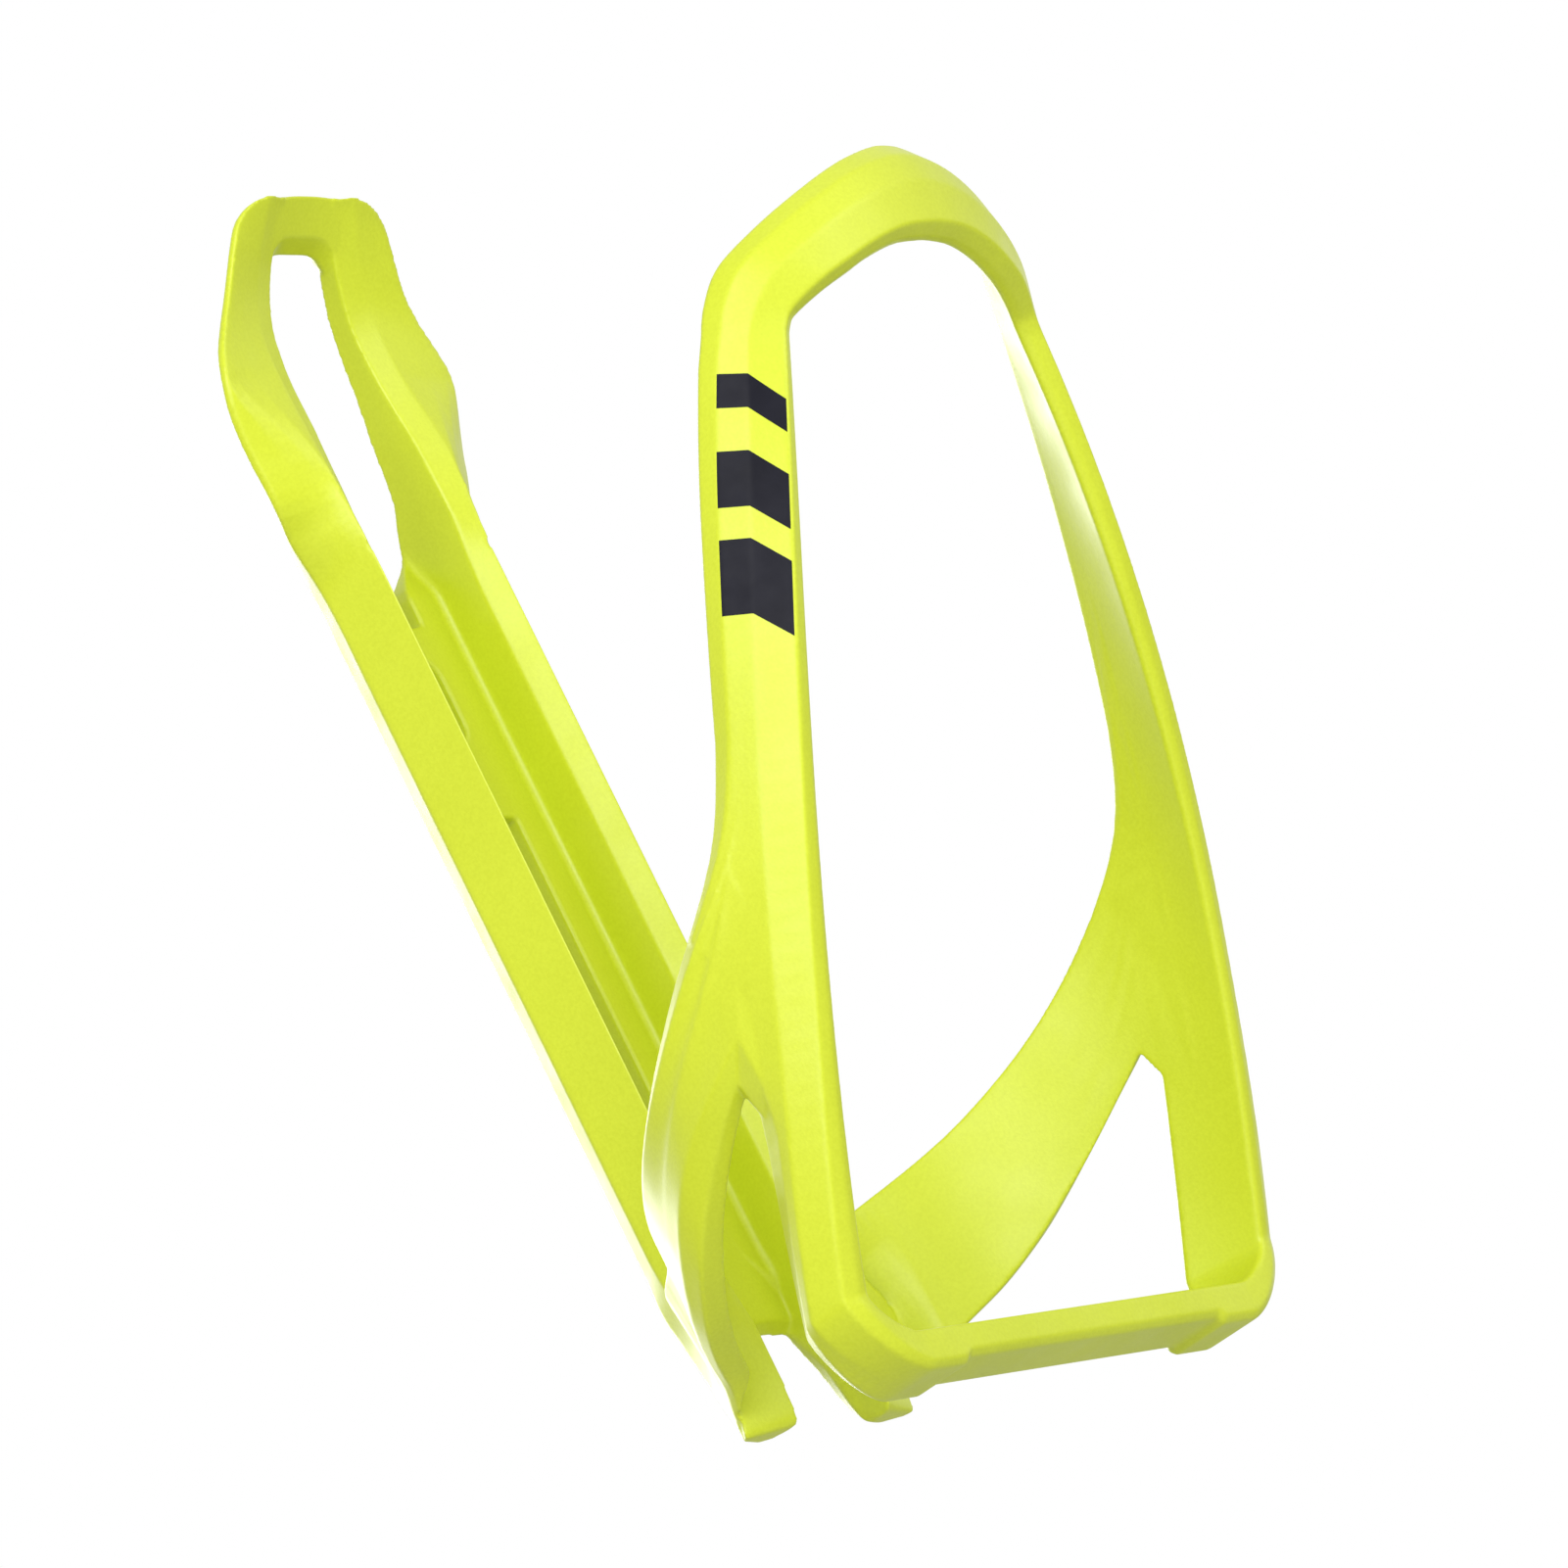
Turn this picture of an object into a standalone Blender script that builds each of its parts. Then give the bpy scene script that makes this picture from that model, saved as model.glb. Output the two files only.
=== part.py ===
"""Bicycle bottle cage: a channel-section spine that bolts to a frame tube, and a
springy loop that wraps the bottle.

Frame: metres, +Z up along the bottle, -Y towards the rider's hand (the open front),
+X to the right seen from the front. The origin is on the rear mounting face, in the
middle of the land under the lower bolt slot.
"""
import math

import bmesh
import bpy

# Driving dimensions, in millimetres and degrees
BOTTLE_RADIUS = 36.75
GRIP = 0.8
WALL = 3.0
RIDGE_RISE = 0.6
EDGE_STEP = 1.4
BEVEL_SHARE = 0.2
RIDGE_SHARE = 0.57
FRONT_BEVEL_SHARE = 0.9
JOIN_GAP = 0.3

SPINE_HALF_WIDTH = 10.5
SPINE_DEPTH = 11.6
SPINE_CHAMFER_WIDTH = 1.9
SPINE_CHAMFER_DEPTH = 2.3
CHAMFER_LIMIT = 0.6
FLOOR_THICKNESS = 3.5
REAR_BEVEL_WIDTH = 2.2
REAR_BEVEL_DEPTH = 3.6
EDGE_FLAT = 0.5
WALL_DRAFT = 0.4
LIP_HALF_GAP = 3.85
BRIDGE_HALF_WIDTH = 6.2
SPINE_TOP = 127.5
HEAD_BAR = 3.6
HEAD_CURL = 0.6
HEAD_CROWN = 1.8
HEAD_HALF_WIDTH = 10.1
WING_HALF_WIDTH = 19.0
WING_EDGE = 0.9
TAB_DROP = 16.8
TAB_SETBACK = 5.9
TAB_THICKNESS = 2.6
TAB_TILT = 1.4
TAB_WIDTH = 5.1
TAB_FLARE = 1.3
TAB_START = 0.35
TAB_HALF_WAY = 0.8
ROOT_TAPER = 4.0

BOLT_SPACING = 64.0
BOLT_SLOT_WIDTH = 5.5
BOLT_SLOT_LENGTH = 10.6
LOWER_LAND = 8.2
UPPER_LAND = 4.7
UPPER_BRIDGE_MARGIN = 5.0
LOWER_BRIDGE_MARGIN = 9.6

UPRIGHT_WIDTH = 10.0
UPRIGHT_TOP_ANGLE = 36.0
UPRIGHT_FOOT_ANGLE = 95.0
SHOULDER_HEIGHT = 74.5
SHOULDER_LENGTH = 10.0
SHOULDER_NARROWING = 0.14
FOOT_HEIGHT = -17.5
HOOP_TOP = 92.2
HOOP_BAND = 9.6
BAND_ROOT_TOP = 4.3
BAND_ROOT_HEIGHT = 19.5
BAND_WAIST = 38.0
APEX_HEIGHT = 6.0
BAR_UNDERSIDE = -25.2
BAR_THICKNESS = 3.3
BAR_FRONT = 3.2
BAR_DEPTH = 7.8
BAR_LENGTH = 47.6
CORNER_PROUD = 0.9
CORNER_BEND = 0.45
CORNER_TURNS = (0.3, 0.65, 1.0)

# Shape of a rail's top: share of its height, then ridge, rear face, wing width and
# wing edge, as shares of the spine's depth and of the wing's reach
HEAD_STATIONS = 12
HEAD_BAR_STATIONS = 7
HEAD_SHAPE = [
    (0.10, 0.98, 0.14, 0.05, 0.34),
    (0.25, 0.94, 0.38, 0.35, 0.44),
    (0.47, 0.90, 0.47, 0.93, 0.74),
    (0.61, 0.88, 0.53, 1.00, 0.89),
    (0.72, 0.91, 0.59, 0.85, 0.95),
    (0.85, 1.02, 0.71, 0.58, 1.09),
    (1.00, 1.53, 1.10, 0.29, 1.37),
]

# Edges of the hoop from shoulder to crest: share of the turn, share of the rise
HOOP_STATIONS = 12
HOOP_OUTER = [(0.0, 0.0), (0.083, 0.37), (0.44, 0.77), (0.8, 0.965), (1.0, 1.0)]
HOOP_INNER = [(0.0, 0.0), (0.07, 0.27), (0.28, 0.5), (0.7, 0.93), (1.0, 1.0)]

# Edges of a band from upright to spine: share of the turn, share of the drop
BAND_STATIONS = 14
BAND_UPPER = [(0.0, 0.0), (0.11, 0.28), (0.35, 0.59), (0.6, 0.82), (0.85, 0.97), (1.0, 1.0)]
BAND_LOWER = [(0.0, 0.0), (0.3, 0.32), (0.62, 0.67), (1.0, 1.0)]

UPRIGHT_STATIONS = 15

# Places that follow from those sizes
MM = 0.001
OUTER_RADIUS = BOTTLE_RADIUS + WALL
RIDGE_TO_AXIS = math.sqrt(BOTTLE_RADIUS ** 2 - SPINE_HALF_WIDTH ** 2) - GRIP
AXIS_Y = -(SPINE_DEPTH + RIDGE_TO_AXIS)
LOWER_SLOT_Z = LOWER_LAND / 2 + BOLT_SLOT_LENGTH / 2
UPPER_SLOT_Z = LOWER_SLOT_Z + BOLT_SPACING
LOWER_BRIDGE_BOTTOM = -LOWER_LAND / 2
LOWER_BRIDGE_TOP = LOWER_SLOT_Z + BOLT_SLOT_LENGTH / 2 + UPPER_LAND
UPPER_BRIDGE_BOTTOM = UPPER_SLOT_Z - BOLT_SLOT_LENGTH / 2 - LOWER_BRIDGE_MARGIN
UPPER_BRIDGE_TOP = UPPER_SLOT_Z + BOLT_SLOT_LENGTH / 2 + UPPER_BRIDGE_MARGIN
RAIL_WALL_X = SPINE_HALF_WIDTH - SPINE_CHAMFER_WIDTH
UPRIGHT_SPAN = math.degrees(UPRIGHT_WIDTH / BOTTLE_RADIUS)
UPRIGHT_RISE = SHOULDER_HEIGHT - FOOT_HEIGHT
UPRIGHT_SLOPE = math.radians(UPRIGHT_FOOT_ANGLE - UPRIGHT_TOP_ANGLE) * BOTTLE_RADIUS / UPRIGHT_RISE
BAND_GAP_ANGLE = math.degrees(JOIN_GAP / BOTTLE_RADIUS) * math.hypot(1.0, UPRIGHT_SLOPE)
ROOT_HALF_WIDTH = SPINE_HALF_WIDTH + TAB_FLARE
BAND_END_X = ROOT_HALF_WIDTH + JOIN_GAP

# Colours of the moulding, each a slight step of the same yellow
YELLOW = (0.66, 0.79, 0.04, 1.0)
SHADE_STEP = 0.93


def clear_scene():
    for obj in list(bpy.data.objects):
        bpy.data.objects.remove(obj, do_unlink=True)


def plastic(name, shade):
    """Semi-matte moulded plastic."""
    material = bpy.data.materials.new(name)
    material.use_nodes = True
    shader = material.node_tree.nodes["Principled BSDF"]
    red, green, blue, alpha = YELLOW
    shader.inputs["Base Color"].default_value = (red * shade, green * shade, blue * shade, alpha)
    shader.inputs["Roughness"].default_value = 0.42
    shader.inputs["Metallic"].default_value = 0.0
    return material


def lerp(start, end, share):
    return start + (end - start) * share


def mix(first, second, share):
    return tuple(lerp(a, b, share) for a, b in zip(first, second))


def smooth_path(points, count):
    """Evenly stepped points on a Catmull-Rom curve through the given points."""
    ends = [mix(points[1], points[0], 2.0)] + list(points) + [mix(points[-2], points[-1], 2.0)]
    fine = []
    steps = 16
    for index in range(1, len(ends) - 2):
        before, here, after, beyond = ends[index - 1:index + 3]
        for step in range(steps):
            t = step / steps
            weights = (
                -0.5 * t + t ** 2 - 0.5 * t ** 3,
                1.0 - 2.5 * t ** 2 + 1.5 * t ** 3,
                0.5 * t + 2.0 * t ** 2 - 1.5 * t ** 3,
                -0.5 * t ** 2 + 0.5 * t ** 3,
            )
            rows = zip(before, here, after, beyond)
            fine.append(tuple(sum(w * v for w, v in zip(weights, row)) for row in rows))
    fine.append(tuple(points[-1]))
    reach = [0.0]
    for a, b in zip(fine[:-1], fine[1:]):
        reach.append(reach[-1] + math.dist(a, b))
    path = []
    index = 0
    for step in range(count):
        wanted = reach[-1] * step / (count - 1)
        while index < len(fine) - 2 and reach[index + 1] < wanted:
            index += 1
        span = reach[index + 1] - reach[index]
        path.append(mix(fine[index], fine[index + 1], (wanted - reach[index]) / span))
    return path


def on_bottle(angle, radius, height):
    """A point round the bottle: angle 0 is the front and 180 is the spine."""
    turn = math.radians(angle)
    return (radius * math.sin(turn), AXIS_Y - radius * math.cos(turn), height)


def add_piece(name, rings, shade, side=1):
    """A closed solid through rings of points, mirrored to the left where side is -1."""
    mesh = bpy.data.meshes.new(name)
    build = bmesh.new()
    loops = [[build.verts.new((side * x * MM, y * MM, z * MM)) for x, y, z in ring] for ring in rings]
    size = len(rings[0])
    for lower, upper in zip(loops[:-1], loops[1:]):
        for index in range(size):
            follow = (index + 1) % size
            build.faces.new((lower[index], lower[follow], upper[follow], upper[index]))
    build.faces.new(loops[0])
    build.faces.new(loops[-1])
    bmesh.ops.triangulate(build, faces=build.faces[:])
    bmesh.ops.recalc_face_normals(build, faces=build.faces[:])
    build.to_mesh(mesh)
    build.free()
    mesh.shade_smooth()
    mesh.set_sharp_from_angle(angle=math.radians(20))
    mesh.materials.append(plastic(name, shade))
    obj = bpy.data.objects.new(name, mesh)
    bpy.context.scene.collection.objects.link(obj)
    return obj


def strap_section(back, front):
    """Section of a strap round the bottle between two (angle, height) edges.

    The inner side follows the bottle. The outer side has a bevel, a facet, a ridge,
    a second facet and a narrow front bevel.
    """
    outline = (
        (0.0, 0.0),
        (0.0, EDGE_STEP),
        (BEVEL_SHARE, WALL),
        (RIDGE_SHARE, WALL + RIDGE_RISE),
        (FRONT_BEVEL_SHARE, WALL),
        (1.0, EDGE_STEP),
        (1.0, 0.0),
        (2 / 3, 0.0),
        (1 / 3, 0.0),
    )
    ring = []
    for across, rise in outline:
        angle, height = mix(back, front, across)
        ring.append(on_bottle(angle, BOTTLE_RADIUS + rise, height))
    return ring


def upright_front_angle(height):
    """Angle of the upright's front edge, which climbs forwards from foot to shoulder."""
    share = (height - FOOT_HEIGHT) / UPRIGHT_RISE
    return lerp(UPRIGHT_FOOT_ANGLE, UPRIGHT_TOP_ANGLE, share)


def upright_back(height):
    into_shoulder = max(0.0, 1.0 - (SHOULDER_HEIGHT - height) / SHOULDER_LENGTH)
    span = UPRIGHT_SPAN * (1.0 - SHOULDER_NARROWING * into_shoulder)
    return (upright_front_angle(height) + span, height)


def upright_front(height):
    return (upright_front_angle(height), height)


def upright(name, side):
    """The side member that leans forwards from the foot to the hoop."""
    rings = []
    for step in range(UPRIGHT_STATIONS):
        height = lerp(FOOT_HEIGHT, SHOULDER_HEIGHT, step / (UPRIGHT_STATIONS - 1))
        rings.append(strap_section(upright_back(height), upright_front(height)))
    add_piece(name, rings, 1.0, side)


def edge_curve(shape, start, end, count):
    """A smooth edge round the bottle, from the first to the last (angle, height)."""
    points = []
    for turn, climb in shape:
        points.append((lerp(start[0], end[0], turn), lerp(start[1], end[1], climb)))
    return smooth_path(points, count)


def hoop():
    """The arch over the front that joins the two uprights."""
    base = SHOULDER_HEIGHT + JOIN_GAP
    crest = HOOP_TOP - HOOP_BAND
    outer_angle = upright_back(SHOULDER_HEIGHT)[0]
    outer = edge_curve(HOOP_OUTER, (outer_angle, base), (0.0, HOOP_TOP), HOOP_STATIONS)
    inner = edge_curve(HOOP_INNER, (UPRIGHT_TOP_ANGLE, base), (0.0, crest), HOOP_STATIONS)
    right = [strap_section(a, b) for a, b in zip(outer, inner)]
    left = [[(-x, y, z) for x, y, z in ring] for ring in right[:-1]]
    add_piece("top_hoop", right + left[::-1], SHADE_STEP)


def band(name, side):
    """The strap that runs back and down from the upright's waist to the spine."""
    root_angle = 180.0 - math.degrees(math.asin(BAND_END_X / BOTTLE_RADIUS))
    root_bottom = BAND_ROOT_TOP - BAND_ROOT_HEIGHT
    waist = (upright_back(BAND_WAIST)[0] + BAND_GAP_ANGLE, BAND_WAIST)
    apex = (upright_back(APEX_HEIGHT)[0] + BAND_GAP_ANGLE, APEX_HEIGHT)
    upper = edge_curve(BAND_UPPER, waist, (root_angle, BAND_ROOT_TOP), BAND_STATIONS)
    lower = edge_curve(BAND_LOWER, apex, (root_angle, root_bottom), BAND_STATIONS)
    rings = [strap_section(a, b) for a, b in zip(upper, lower)]
    rings[-1] = [against_spine(point) for point in rings[-1]]
    add_piece(name, rings, SHADE_STEP, side)


def against_spine(point):
    """Slides a band's end point round the bottle on to the flat side of the spine."""
    x, y, z = point
    radius = math.hypot(x, y - AXIS_Y)
    return (BAND_END_X, AXIS_Y + math.sqrt(radius ** 2 - BAND_END_X ** 2), z)


def bar_section(x, proud):
    """Section of the strap under the bottle, at one distance from the middle."""
    front = AXIS_Y + BAR_FRONT
    back = front + BAR_DEPTH + proud
    bottom = BAR_UNDERSIDE - proud
    top = BAR_UNDERSIDE + BAR_THICKNESS
    bevel = EDGE_STEP / 2
    return [
        (x, back, top),
        (x, back, bottom + bevel),
        (x, back - bevel, bottom),
        (x, lerp(back, front, RIDGE_SHARE), bottom),
        (x, front + bevel, bottom),
        (x, front, bottom + bevel),
        (x, front, top),
        (x, lerp(back, front, 2 / 3), top),
        (x, lerp(back, front, 1 / 3), top),
    ]


def base_bar():
    """The cross strap that the bottle's base stands on."""
    half = BAR_LENGTH / 2
    add_piece("base_bar", [bar_section(-half, 0.0), bar_section(half, 0.0)], SHADE_STEP ** 2)


def corner(name, side):
    """The bent block between an upright's foot and the base bar."""
    foot = FOOT_HEIGHT - JOIN_GAP
    shift = math.degrees(math.atan(JOIN_GAP / BOTTLE_RADIUS))
    top_ring = strap_section(
        (upright_back(FOOT_HEIGHT)[0] + shift, foot),
        (upright_front(FOOT_HEIGHT)[0] + shift, foot),
    )
    start = BAR_LENGTH / 2 + JOIN_GAP
    end_ring = bar_section(start, CORNER_PROUD)
    reach = OUTER_RADIUS - start
    bent_ring = bar_section(OUTER_RADIUS - reach * CORNER_BEND, CORNER_PROUD)
    rings = [top_ring]
    for turn in CORNER_TURNS:
        along = math.sin(turn * math.pi / 2)
        inward = 1.0 - math.cos(turn * math.pi / 2)
        ring = []
        for high, low in zip(top_ring, bent_ring):
            x = lerp(high[0], low[0], inward)
            y = lerp(high[1], low[1], turn)
            z = lerp(high[2], low[2], along)
            ring.append((x, y, z))
        rings.append(ring)
    rings.append(end_ring)
    add_piece(name, rings, 1.0, side)


def straight_row(height, lip):
    """Where the rail is a plain channel wall, with a floor lip that reaches in to the given half gap."""
    return dict(
        z=height,
        ridge=(SPINE_HALF_WIDTH, -SPINE_DEPTH),
        inner=RAIL_WALL_X,
        floor=-FLOOR_THICKNESS,
        lip=lip,
        rear=0.0,
        rear_x=SPINE_HALF_WIDTH - REAR_BEVEL_WIDTH,
        side=(SPINE_HALF_WIDTH, -REAR_BEVEL_DEPTH),
        edge=EDGE_FLAT,
        chamfer=SPINE_CHAMFER_DEPTH,
    )


def root_row(height, share):
    """Where the bands join, from the full channel at share 0 to the thin tab at share 1."""
    tip = ROOT_HALF_WIDTH - TAB_WIDTH
    rear = lerp(0.0, TAB_THICKNESS - TAB_SETBACK, share)
    row = straight_row(height, lerp(BRIDGE_HALF_WIDTH + JOIN_GAP, tip, share))
    row["ridge"] = (ROOT_HALF_WIDTH, lerp(-SPINE_DEPTH, -TAB_SETBACK, share))
    row["inner"] = lerp(RAIL_WALL_X, tip, share)
    row["floor"] = min(rear - EDGE_FLAT, lerp(-FLOOR_THICKNESS, rear, share))
    row["rear"] = rear
    row["chamfer"] = lerp(SPINE_CHAMFER_DEPTH, -TAB_TILT, share)
    row["side"] = (ROOT_HALF_WIDTH, lerp(-REAR_BEVEL_DEPTH, -TAB_SETBACK + TAB_THICKNESS / 2, share))
    return row


def head_rows():
    """The top of a rail, where it thins, opens into a wing and curls forwards."""
    length = SPINE_TOP - UPPER_BRIDGE_TOP
    rows = []
    for share, ridge, rear, wing, edge in smooth_path(HEAD_SHAPE, HEAD_STATIONS):
        half = lerp(SPINE_HALF_WIDTH, HEAD_HALF_WIDTH, max(0.0, share * 2.0 - 1.0))
        inner = half - SPINE_CHAMFER_WIDTH
        rows.append(
            dict(
                z=UPPER_BRIDGE_TOP + length * share,
                ridge=(half, -SPINE_DEPTH * ridge),
                inner=inner,
                floor=-SPINE_DEPTH * rear - EDGE_FLAT,
                lip=inner + WALL_DRAFT / 2,
                rear=-SPINE_DEPTH * rear,
                rear_x=inner + WALL_DRAFT + EDGE_FLAT,
                side=(lerp(SPINE_HALF_WIDTH, WING_HALF_WIDTH, wing), -SPINE_DEPTH * edge),
                edge=WING_EDGE,
                chamfer=SPINE_CHAMFER_DEPTH,
            )
        )
    return rows


def rail_section(row):
    """Section of the right rail: ridge, chamfer, inner wall, floor lip, back, bevel and outer side."""
    z = row["z"]
    ridge_x, ridge_y = row["ridge"]
    side_x, side_y = row["side"]
    chamfer = min(row["chamfer"], (row["floor"] - ridge_y) * CHAMFER_LIMIT)
    return [
        (ridge_x, ridge_y, z),
        (row["inner"], ridge_y + chamfer, z),
        (row["inner"] + WALL_DRAFT / 2, row["floor"], z),
        (row["lip"], row["floor"], z),
        (row["lip"], row["rear"], z),
        (row["rear_x"], row["rear"], z),
        (side_x, side_y + row["edge"], z),
        (side_x, side_y, z),
    ]


def rail(name, side):
    """One side wall of the spine, from its tab at the bottom to its wing and the head."""
    wide = BRIDGE_HALF_WIDTH + JOIN_GAP
    rows = [
        root_row(-TAB_DROP, 1.0),
        root_row(lerp(-TAB_DROP, LOWER_BRIDGE_BOTTOM, 0.5), TAB_HALF_WAY),
        root_row(LOWER_BRIDGE_BOTTOM, TAB_START),
        root_row(BAND_ROOT_TOP, 0.0),
        straight_row(BAND_ROOT_TOP + ROOT_TAPER, wide),
        straight_row(LOWER_BRIDGE_TOP, wide),
        straight_row(LOWER_BRIDGE_TOP + JOIN_GAP, LIP_HALF_GAP),
        straight_row(UPPER_BRIDGE_BOTTOM - JOIN_GAP, LIP_HALF_GAP),
        straight_row(UPPER_BRIDGE_BOTTOM, wide),
        straight_row(UPPER_BRIDGE_TOP, wide),
    ]
    add_piece(name, [rail_section(row) for row in rows + head_rows()], 1.0, side)


def spine_head():
    """The short bar that closes the spine's open channel at the top."""
    half = HEAD_HALF_WIDTH - SPINE_CHAMFER_WIDTH - JOIN_GAP
    ridge_top = -SPINE_DEPTH * HEAD_SHAPE[-1][1]
    rear_top = -SPINE_DEPTH * HEAD_SHAPE[-1][2]
    front = ridge_top + SPINE_CHAMFER_DEPTH
    low = SPINE_TOP - HEAD_BAR
    slope = HEAD_BAR * HEAD_CURL
    rings = []
    for step in range(HEAD_BAR_STATIONS):
        across = 2.0 * step / (HEAD_BAR_STATIONS - 1) - 1.0
        x = half * across
        top = SPINE_TOP + HEAD_CROWN * (1.0 - across ** 2 / 2)
        rings.append(
            [
                (x, front, top),
                (x, rear_top, top),
                (x, rear_top + slope, low),
                (x, front + slope, low),
            ]
        )
    add_piece("spine_head", rings, SHADE_STEP)


def bolt_bridge(name, bottom, top, slot_z):
    """The floor plate that a bolt clamps, with its long slot."""
    half = BRIDGE_HALF_WIDTH
    radius = BOLT_SLOT_WIDTH / 2
    straight = BOLT_SLOT_LENGTH / 2 - radius
    sides = 8
    outer = [(half, top), (0.0, top), (-half, top), (-half, slot_z)]
    outer += [(-half, bottom), (0.0, bottom), (half, bottom), (half, slot_z)]
    hole = []
    for centre, start in ((slot_z + straight, 0.0), (slot_z - straight, math.pi)):
        for step in range(sides + 1):
            turn = start + math.pi * step / sides
            hole.append((radius * math.cos(turn), centre + radius * math.sin(turn)))
    build = bmesh.new()
    edges = []
    for outline in (outer, hole):
        verts = [build.verts.new((x * MM, 0.0, z * MM)) for x, z in outline]
        for a, b in zip(verts, verts[1:] + verts[:1]):
            edges.append(build.edges.new((a, b)))
    bmesh.ops.triangle_fill(build, edges=edges, use_beauty=True, use_dissolve=False)
    result = bmesh.ops.extrude_face_region(build, geom=build.faces[:])
    moved = [item for item in result["geom"] if isinstance(item, bmesh.types.BMVert)]
    bmesh.ops.translate(build, verts=moved, vec=(0.0, -FLOOR_THICKNESS * MM, 0.0))
    bmesh.ops.triangulate(build, faces=build.faces[:])
    bmesh.ops.recalc_face_normals(build, faces=build.faces[:])
    mesh = bpy.data.meshes.new(name)
    build.to_mesh(mesh)
    build.free()
    mesh.materials.append(plastic(name, SHADE_STEP))
    obj = bpy.data.objects.new(name, mesh)
    bpy.context.scene.collection.objects.link(obj)


def main():
    clear_scene()
    for name, side in (("left", -1), ("right", 1)):
        rail(f"spine_{name}_rail", side)
        upright(f"{name}_upright", side)
        band(f"{name}_band", side)
        corner(f"{name}_corner", side)
    hoop()
    base_bar()
    spine_head()
    bolt_bridge("upper_bolt_bridge", UPPER_BRIDGE_BOTTOM, UPPER_BRIDGE_TOP, UPPER_SLOT_Z)
    bolt_bridge("lower_bolt_bridge", LOWER_BRIDGE_BOTTOM, LOWER_BRIDGE_TOP, LOWER_SLOT_Z)


main()
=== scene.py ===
"""Looks of the bottle cage: one continuous moulded skin, printed stripes, stage and camera."""
import math

import bmesh
import bpy
from mathutils import Matrix, Vector
from mathutils.bvhtree import BVHTree


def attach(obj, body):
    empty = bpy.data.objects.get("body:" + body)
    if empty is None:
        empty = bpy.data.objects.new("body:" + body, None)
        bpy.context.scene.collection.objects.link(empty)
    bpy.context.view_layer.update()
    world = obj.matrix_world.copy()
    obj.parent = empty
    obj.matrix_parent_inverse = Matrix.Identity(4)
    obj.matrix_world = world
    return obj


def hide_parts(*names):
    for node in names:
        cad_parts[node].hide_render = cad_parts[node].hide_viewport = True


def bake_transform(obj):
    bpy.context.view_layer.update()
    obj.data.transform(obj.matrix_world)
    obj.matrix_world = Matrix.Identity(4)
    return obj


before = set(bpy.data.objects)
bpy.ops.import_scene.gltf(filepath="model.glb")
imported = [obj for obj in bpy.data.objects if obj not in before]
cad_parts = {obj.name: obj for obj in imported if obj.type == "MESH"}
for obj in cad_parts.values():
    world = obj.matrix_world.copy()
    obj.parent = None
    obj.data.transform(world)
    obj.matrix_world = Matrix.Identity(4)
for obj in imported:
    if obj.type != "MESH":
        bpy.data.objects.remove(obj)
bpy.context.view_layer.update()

# Sizes of the moulding, in millimetres and degrees
MM = 0.001
BOTTLE_RADIUS = 36.75
WALL = 3.0
RIDGE_RISE = 0.6
EDGE_STEP = 1.4
EDGE_BLUNT = 0.35
BLUNT_SHARE = EDGE_BLUNT / 10.0
BEVEL_SHARE = 0.2
HOLE_BEVEL_SHARE = 0.35
HOLE_EDGE = 0.7
HOLE_TOP = 8.0
RIDGE_SHARE = 0.515
FRONT_BEVEL_SHARE = 0.93
INNER_SHARES = (0.82, 0.66, 0.5, 0.34, 0.18)
GRIP = 0.8

SPINE_HALF_WIDTH = 10.5
SPINE_DEPTH = 11.6
SPINE_CHAMFER_WIDTH = 1.9
SPINE_CHAMFER_DEPTH = 2.3
FLOOR_THICKNESS = 3.5
REAR_BEVEL_WIDTH = 3.0
REAR_BEVEL_DEPTH = 3.6
WALL_DRAFT = 0.4
LIP_HALF_GAP = 3.85
FLOOR_FILLET = 0.6
TAB_INSET = 0.3
RIDGE_PROUD = (0.1, 0.2)
RAIL_EDGE = 0.2
STRAIGHT_HEIGHTS = (9.0, 30.0)
TAB_FLOOR = 0.8
TAB_FLOOR_END = -4.0
TAB_FADE = 6.0
FOOT_FILLET = 0.8
FOOT_ARC = 4.4
FOOT_WIDENING = 3.0
FOOT_FRONT_RISE = 0.3
FOOT_REAR_SLOPE = 0.45
WING_SLANT = 0.627
WING_FULLNESS = 1.4
WING_EDGE = 0.9
WING_EDGE_START = 88.0
WING_FULL_START = 90.0
WING_FADE = 12.0
WING_REAR_INSET = 1.6
WING_FLOOR = 0.6
WING_REACH = 0.9
WING_MIN_REACH = 0.3
FLOOR_END = 86.0
FLOOR_FADE = 7.0
HEAD_HALF = 6.8
HEAD_CROWN = 0.6
HEAD_INSET = 0.2
HEAD_BOW = 0.6
HEAD_SLOPE = 0.75
WINDOW_HALF = 5.4
WINDOW_ROUND = 1.6

BOLT_SLOT_WIDTH = 5.5
BOLT_SLOT_LENGTH = 10.6
LOWER_SLOT_Z = 9.4
UPPER_SLOT_Z = 73.4
LOWER_BRIDGE = (-4.1, 19.4)
UPPER_BRIDGE = (58.5, 83.7)
BRIDGE_HOLLOW = 3.0
WINDOW_LEDGE = 2.5
TOP_LEDGE = 2.0
BRIDGE_BITE = 0.8
BRIDGE_REAR_INSET = 0.2

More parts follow.
